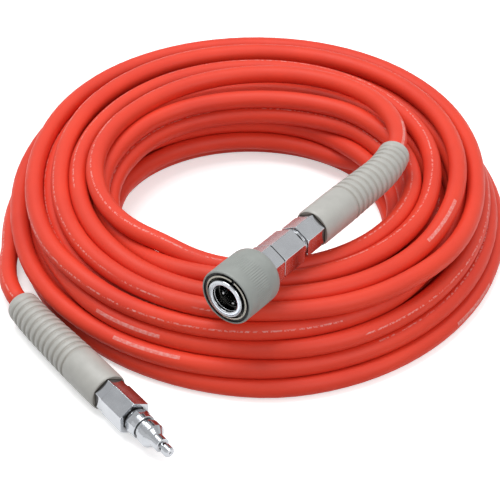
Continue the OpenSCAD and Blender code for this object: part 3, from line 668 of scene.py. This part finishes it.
def objectCoords(tree, place=None, scale=(1, 1, 1)):
    coords = addNode(tree, "ShaderNodeTexCoord").outputs["Object"]
    if place is not None:
        turn = tuple(math.radians(angle) for angle in place["turn"])
        own = {"Vector": coords, "Location": place["start"], "Rotation": turn}
        coords = addNode(tree, "ShaderNodeMapping", {"vector_type": "TEXTURE"}, own).outputs[0]
    sized = {"Vector": coords, "Scale": scale}
    return addNode(tree, "ShaderNodeMapping", {"vector_type": "POINT"}, sized).outputs[0]


def noise(tree, vector, scale, detail=2.0, roughness=0.5):
    inputs = {"Vector": vector, "Scale": scale, "Detail": detail, "Roughness": roughness}
    return addNode(tree, "ShaderNodeTexNoise", None, inputs).outputs["Fac"]


def spread(tree, value, low, high, toLow=0.0, toHigh=1.0):
    inputs = {"Value": value, "From Min": low, "From Max": high, "To Min": toLow, "To Max": toHigh}
    return addNode(tree, "ShaderNodeMapRange", None, inputs).outputs[0]


def closeTo(tree, samples, reach):
    inputs = {"Distance": reach}
    return addNode(tree, "ShaderNodeAmbientOcclusion", {"samples": samples}, inputs).outputs["AO"]


def roughen(tree, shader, grain, roughness, less, more):
    value = spread(tree, grain, 0.3, 0.7, roughness - less, roughness + more)
    tree.links.new(value, shader.inputs["Roughness"])


def bump(tree, shader, height, strength, distance):
    inputs = {"Height": height, "Strength": strength, "Distance": distance}
    node = addNode(tree, "ShaderNodeBump", None, inputs)
    tree.links.new(node.outputs[0], shader.inputs["Normal"])


hoseFinish = {
    "red": (0.80, 0.056, 0.024, 1),
    "shadeRed": (0.72, 0.046, 0.022, 1),
    "cloud": (22, 3),  # scale and detail of each noise
    "cloudShare": (0.35, 0.7),
    "printPale": (0.80, 0.34, 0.31, 1),
    "printWidth": 0.016,  # in turns round the hose, as the bar's
    "printEdge": 0.75,
    "barWidth": 0.034,
    "barEdge": 0.85,
    "girth": 0.0314,  # metres round the hose
    "markLength": 0.0017,
    "markGrain": (1.5, 0.6),
    "markShare": (0.46, 0.52),
    "groupLength": 0.83,
    "wordsTo": 0.56,
    "words": (26, 1),
    "wordShare": (0.37, 0.46),
    "barFrom": 0.685,
    "barTo": 0.73,
    "wear": (700, 2),
    "wearShare": (0.38, 0.62, 0.35, 0.8),
    "roughness": 0.50,
    "sheenGrain": (60, 4),
    "specular": 0.25,
    "grain": (1400, 3),
    "grainDepth": (0.08, 0.0003),
}


def printShare(tree, f, uv, coords):
    # one faint line of small printed marks along the hose, with a longer bar now and then
    split = addNode(tree, "ShaderNodeSeparateXYZ", None, {0: uv})
    along, around = split.outputs[0], split.outputs[1]
    side = maths(tree, "ABSOLUTE", maths(tree, "SUBTRACT", maths(tree, "FRACT", around), 0.5))
    line = spread(tree, side, f["printWidth"], f["printWidth"] * f["printEdge"])
    broad = spread(tree, side, f["barWidth"], f["barWidth"] * f["barEdge"])
    flat = {0: along, 1: times(tree, around, f["girth"])}
    row = addNode(tree, "ShaderNodeCombineXYZ", None, flat).outputs[0]
    markNoise = noise(tree, row, 1 / f["markLength"], *f["markGrain"])
    marks = spread(tree, markNoise, *f["markShare"])
    place = maths(tree, "FRACT", times(tree, along, 1 / f["groupLength"]))
    early = maths(tree, "LESS_THAN", place, f["wordsTo"])
    words = times(tree, early, spread(tree, noise(tree, row, *f["words"]), *f["wordShare"]))
    bar = between(tree, place, f["barFrom"], f["barTo"])
    wear = spread(tree, noise(tree, coords, *f["wear"]), *f["wearShare"])
    small = times(tree, line, times(tree, marks, words))
    return times(tree, wear, maths(tree, "MAXIMUM", small, times(tree, broad, bar)))


def hoseMaterial(f):
    material, tree, shader = newMaterial("redHosePolyurethane")
    uv = addNode(tree, "ShaderNodeUVMap", {"uv_map": "alongAround"}).outputs[0]
    coords = objectCoords(tree)
    cloud = spread(tree, noise(tree, coords, *f["cloud"]), *f["cloudShare"])
    body = mixColour(tree, cloud, f["red"], f["shadeRed"])
    colour = mixColour(tree, printShare(tree, f, uv, coords), body, f["printPale"])
    tree.links.new(colour, shader.inputs["Base Color"])
    roughen(tree, shader, noise(tree, coords, *f["sheenGrain"]), f["roughness"], 0.05, 0.07)
    shader.inputs["Specular IOR Level"].default_value = f["specular"]
    bump(tree, shader, noise(tree, coords, *f["grain"]), *f["grainDepth"])
    return material


steelFinish = {
    "bright": (0.56, 0.575, 0.60, 1),
    "dull": (0.49, 0.505, 0.53, 1),
    # the colour of the painted shade in grooves, steps and bores
    "inside": (0.06, 0.056, 0.05, 1),
    "cloud": (90, 3),
    "cloudShare": (0.3, 0.75),
    "paintedShadeSamples": 16,
    "paintedShadeReach": 0.003,
    "paintedShadeShare": (0.86, 0.5, 0, 0.92),
    "roughness": 0.19,
    "turning": (18, 18, 110),  # the marks of the lathe run round the axis
    "turningGrain": (14, 3, 0.6),
    "turningDepth": (0.02, 0.0001),
}
plugFinish = {
    **steelFinish,
    "bright": (0.47, 0.485, 0.51, 1),
    "dull": (0.40, 0.415, 0.44, 1),
    "roughness": 0.15,
}
# radii between which the body's bores are painted dark as shade
bodyBores = ((-0.001, 0.0042), (0.0068, 0.00698), (0.0073, 0.00741))  # radii in metres


def steelMaterial(name, place, f, bores=()):
    material, tree, shader = newMaterial(name)
    coords = objectCoords(tree, place)
    rings = noise(tree, objectCoords(tree, place, f["turning"]), *f["turningGrain"])
    cloud = spread(tree, noise(tree, coords, *f["cloud"]), *f["cloudShare"])
    colour = mixColour(tree, cloud, f["bright"], f["dull"])
    # painted shade in the grooves and steps, where ambient occlusion finds other surfaces close
    near = closeTo(tree, f["paintedShadeSamples"], f["paintedShadeReach"])
    colour = mixColour(tree, spread(tree, near, *f["paintedShadeShare"]), colour, f["inside"])
    if bores:
        # painted shade in the bores, which see no light: by their radius, in the piece's own frame
        split = addNode(tree, "ShaderNodeSeparateXYZ", None, {0: coords})
        flat = {0: split.outputs[0], 1: split.outputs[1]}
        flat = {0: addNode(tree, "ShaderNodeCombineXYZ", None, flat).outputs[0]}
        out = addNode(tree, "ShaderNodeVectorMath", {"operation": "LENGTH"}, flat).outputs[1]
        dark = 0.0
        for low, high in bores:
            dark = maths(tree, "MAXIMUM", between(tree, out, low, high), dark)
        colour = mixColour(tree, dark, colour, f["inside"])
    tree.links.new(colour, shader.inputs["Base Color"])
    shader.inputs["Metallic"].default_value = 1.0
    roughen(tree, shader, rings, f["roughness"], 0.04, 0.05)
    bump(tree, shader, rings, *f["turningDepth"])
    return material


# plastics, rubber and the small metal pieces: a clouded colour with a fine grain, and on some a
# painted shade in their grooves
plainFinishes = {
    "darkSteel": {
        "name": "blackenedLockSteel", "colour": (0.022, 0.022, 0.021, 1),
        "roughness": 0.42, "metallic": 0.6, "grain": 900, "depth": 0.1,
    },
    "ringSteel": {
        "name": "splitRingSteel", "colour": (0.33, 0.315, 0.275, 1),
        "roughness": 0.3, "metallic": 1.0, "grain": 900, "depth": 0.05,
        # painted shade: the ring is darkened to near black where it meets the face and its own step
        "grooveShadeReach": 0.0014, "grooveShadeColour": (0.02, 0.019, 0.017, 1),
    },
    "sleeve": {
        "name": "milkySleevePlastic", "colour": (0.47, 0.465, 0.435, 1),
        "roughness": 0.42, "metallic": 0.0, "grain": 900, "depth": 0.1,
        # painted shade in the grooves between the ribs
        "grooveShadeReach": 0.0018, "grooveShadeColour": (0.31, 0.285, 0.25, 1),
    },
    "cover": {
        "name": "greyCoverPlastic", "colour": (0.298, 0.317, 0.299, 1),
        "roughness": 0.52, "metallic": 0.0, "grain": 1500, "depth": 0.15,
    },
    "seal": {
        "name": "blackSealRubberAndRecessShade", "colour": (0.012, 0.012, 0.012, 1),
        "roughness": 0.62, "metallic": 0.0, "grain": 1200, "depth": 0.2,
    },
    "wire": {
        "name": "drawnSpringWire", "colour": (0.55, 0.55, 0.57, 1),
        "roughness": 0.25, "metallic": 1.0, "grain": 800, "depth": 0.1,
    },
    # painted shade: the poppet deep in the bore is given a near black colour
    "disc": {
        "name": "valveMetalInPaintedShade", "colour": (0.09, 0.09, 0.10, 1),
        "roughness": 0.3, "metallic": 1.0, "grain": 900, "depth": 0.1,
    },
    "ball": {
        "name": "polishedBallSteel", "colour": (0.45, 0.45, 0.46, 1),
        "roughness": 0.22, "metallic": 1.0, "grain": 500, "depth": 0.03,
    },
}
plainCloud = {"grain": (160, 3), "share": (0.3, 0.7), "darker": 0.9, "bump": 0.0002}
grooveShade = {"samples": 8, "share": (0.97, 0.8)}


def plainMaterial(f):
    material, tree, shader = newMaterial(f["name"])
    coords = objectCoords(tree)
    darker = tuple(c * plainCloud["darker"] for c in f["colour"][:3]) + (1,)
    cloud = spread(tree, noise(tree, coords, *plainCloud["grain"]), *plainCloud["share"])
    colour = mixColour(tree, cloud, f["colour"], darker)
    # painted shade: darker in grooves and recesses, where ambient occlusion finds other surfaces
    # close
    if "grooveShadeReach" in f:
        near = closeTo(tree, grooveShade["samples"], f["grooveShadeReach"])
        deep = spread(tree, near, *grooveShade["share"])
        colour = mixColour(tree, deep, colour, f["grooveShadeColour"])
    tree.links.new(colour, shader.inputs["Base Color"])
    shader.inputs["Metallic"].default_value = f["metallic"]
    grain = noise(tree, coords, f["grain"], 2)
    roughen(tree, shader, grain, f["roughness"], 0.05, 0.05)
    bump(tree, shader, grain, f["depth"], plainCloud["bump"])
    return material


finishes = {
    "hose": hoseMaterial(hoseFinish),
    "plugSteel": steelMaterial("platedSteelPlug", plugPlace, plugFinish),
    "socketSteel": steelMaterial("platedSteelSocket", mouthPlace, steelFinish),
    "bodySteel": steelMaterial("platedSteelBody", mouthPlace, steelFinish, bodyBores),
    # painted shade: the rim of the socket's body takes the darker plug steel, a shaded copy of the
    # socket steel
    "rimSteel": steelMaterial("platedSteelRim", mouthPlace, plugFinish),
}
for finish, settings in plainFinishes.items():
    finishes[finish] = plainMaterial(settings)

nodeFinish = {
    "hose": (
        "hose_coil", "hose_plug_run", "hose_socket_run", "hose_plug_tail", "hose_socket_tail",
    ),
    "plugSteel": ("plug_clamp_nut", "plug_hose_nipple", "plug_body"),
    "socketSteel": ("socket_clamp_nut", "socket_hose_nipple", "socket_adapter", "valve_seat"),
    "bodySteel": ("socket_body",),
    "darkSteel": ("lock_sleeve",),
    "sleeve": ("plug_strain_sleeve", "socket_strain_sleeve"),
    "cover": ("sleeve_cover",),
    "seal": ("plug_swivel_oring", "socket_swivel_oring", "plug_packing", "valve_seal"),
    "wire": (
        "plug_swivel_wire", "socket_swivel_wire", "valve_spring", "sleeve_spring", "snap_ring",
    ),
    "disc": ("valve_poppet",),
    "ball": tuple("lock_ball_%d" % number for number in range(1, 7)),
}


def paint(obj, material):
    obj.data.materials.clear()
    obj.data.materials.append(material)


for finish, nodes in nodeFinish.items():
    for node in nodes:
        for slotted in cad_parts[node].material_slots:
            slotted.material = finishes[finish]
paint(hosePiece, finishes["hose"])
paint(plugSleeve, finishes["sleeve"])
paint(socketSleeve, finishes["sleeve"])
paint(mouthFace, finishes["rimSteel"])
paint(splitRing, finishes["ringSteel"])
for spring in springPieces:
    paint(spring, finishes["wire"])
paint(releaseCover, finishes["cover"])
# painted shade: the black seal material darkens the cover's recess
releaseCover.data.materials.append(finishes["seal"])
releaseCover.data.polygons.foreach_set("material_index", coverRecess)

# the edges of the turned and milled steel are broken, so that they catch the light
edges = {
    "angle": 28,
    "segments": 2,
    "joinWithin": 0.002,
    "levelWeight": 50,
    "widths": {
        "plug_clamp_nut": 0.3, "plug_hose_nipple": 0.22, "plug_body": 0.16,
        "socket_clamp_nut": 0.35, "socket_hose_nipple": 0.22, "socket_adapter": 0.4,
        "socket_body": 0.3,
    },
}
for node, width in edges["widths"].items():
    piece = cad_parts[node]
    joined = piece.modifiers.new("joinedFaces", "WELD")
    joined.merge_threshold = edges["joinWithin"] * mm
    broken = piece.modifiers.new("brokenEdges", "BEVEL")
    broken.width = width * mm
    broken.segments = edges["segments"]
    broken.limit_method = "ANGLE"
    broken.angle_limit = math.radians(edges["angle"])
    level = piece.modifiers.new("levelFaces", "WEIGHTED_NORMAL")
    level.mode = "FACE_AREA"
    level.weight = edges["levelWeight"]
print("materials given")

# floor, light and backdrop
studio = {
    "aim": (0, 0, 0.02),
    "floorSize": 30,
    "floorColour": (0.42, 0.42, 0.42, 1),
    "floorRoughness": 0.9,
    "seenColour": (0.9, 0.9, 0.9, 1),
    "seenGlow": 0.5,
    "worldGrey": 0.43,
}
lamps = {
    "keyLamp": {"spot": (-0.35, 0.25, 1.45), "size": (1.0, 1.0), "power": 15.8},
    "fillLamp": {"spot": (0.8, -0.9, 0.9), "size": (0.8, 0.8), "power": 6},
}
cards = {  # seen only in the gloss of the steel
    "greyCeiling": {"spot": (0, 0, 2.2), "size": (9, 9), "grey": 0.78},
    "darkCard": {"spot": (0.05, 0.95, 0.72), "size": (0.9, 0.24), "grey": 0.03},
}
white = (1, 1, 1, 1)


def aimFrom(spot, axis):
    way = Vector(studio["aim"]) - Vector(spot)
    return way.to_track_quat(axis, "Y").to_euler()


def seenRays(tree):
    # the rays that see the floor and the backdrop as white
    rays = addNode(tree, "ShaderNodeLightPath").outputs
    inGloss = maths(tree, "MAXIMUM", rays["Is Glossy Ray"], rays["Is Transmission Ray"])
    return maths(tree, "MAXIMUM", rays["Is Camera Ray"], inGloss)


def addFloor(s):
    deselectAll()
    bpy.ops.mesh.primitive_plane_add(size=s["floorSize"], location=(0, 0, 0))
    floor = bpy.context.object
    floor.name = "studioFloor"
    material, tree, shader = newMaterial("paleFloor")
    shader.inputs["Base Color"].default_value = s["floorColour"]
    shader.inputs["Roughness"].default_value = s["floorRoughness"]
    shader.inputs["Specular IOR Level"].default_value = 0.0
    pale = addNode(tree, "ShaderNodeBsdfDiffuse", None, {"Color": s["seenColour"]})
    glowing = {"Color": white, "Strength": s["seenGlow"]}
    glow = addNode(tree, "ShaderNodeEmission", None, glowing)
    both = addNode(tree, "ShaderNodeAddShader", None, {0: pale.outputs[0], 1: glow.outputs[0]})
    choice = {0: seenRays(tree), 1: shader.outputs[0], 2: both.outputs[0]}
    pick = addNode(tree, "ShaderNodeMixShader", None, choice)
    tree.links.new(pick.outputs[0], tree.nodes["Material Output"].inputs["Surface"])
    paint(floor, material)


def addLamp(name, spot, size, power):
    bpy.ops.object.light_add(type="AREA", location=spot, rotation=aimFrom(spot, "-Z"))
    lamp = bpy.context.object
    lamp.name = name
    lamp.data.shape = "RECTANGLE"
    lamp.data.size, lamp.data.size_y = size
    lamp.data.energy = power


def addWorld(s):
    world = bpy.data.worlds.new("studioWorld")
    bpy.context.scene.world = world
    world.use_nodes = True
    tree = world.node_tree
    soft = tree.nodes["Background"]
    soft.inputs["Color"].default_value = white
    soft.inputs["Strength"].default_value = s["worldGrey"]
    seen = addNode(tree, "ShaderNodeBackground", None, {"Color": white, "Strength": 1.0})
    choice = {0: seenRays(tree), 1: soft.outputs[0], 2: seen.outputs[0]}
    pick = addNode(tree, "ShaderNodeMixShader", None, choice)
    tree.links.new(pick.outputs[0], tree.nodes["World Output"].inputs["Surface"])


def addCard(name, c):
    deselectAll()
    turn = aimFrom(c["spot"], "Z")
    bpy.ops.mesh.primitive_plane_add(size=1, location=c["spot"], rotation=turn)
    card = bpy.context.object
    card.name = name
    card.scale = (c["size"][0], c["size"][1], 1)
    material, tree, shader = newMaterial(name + "Paint")
    glowing = {"Color": (c["grey"], c["grey"], c["grey"], 1), "Strength": 1.0}
    glow = addNode(tree, "ShaderNodeEmission", None, glowing)
    tree.links.new(glow.outputs[0], tree.nodes["Material Output"].inputs["Surface"])
    paint(card, material)
    card.visible_camera = False
    card.visible_diffuse = False
    card.visible_shadow = False
    card.visible_transmission = False


addFloor(studio)
for name, lamp in lamps.items():
    addLamp(name, lamp["spot"], lamp["size"], lamp["power"])
for name, card in cards.items():
    addCard(name, card)
addWorld(studio)
bpy.context.scene.view_settings.view_transform = "Standard"
print("studio lit")
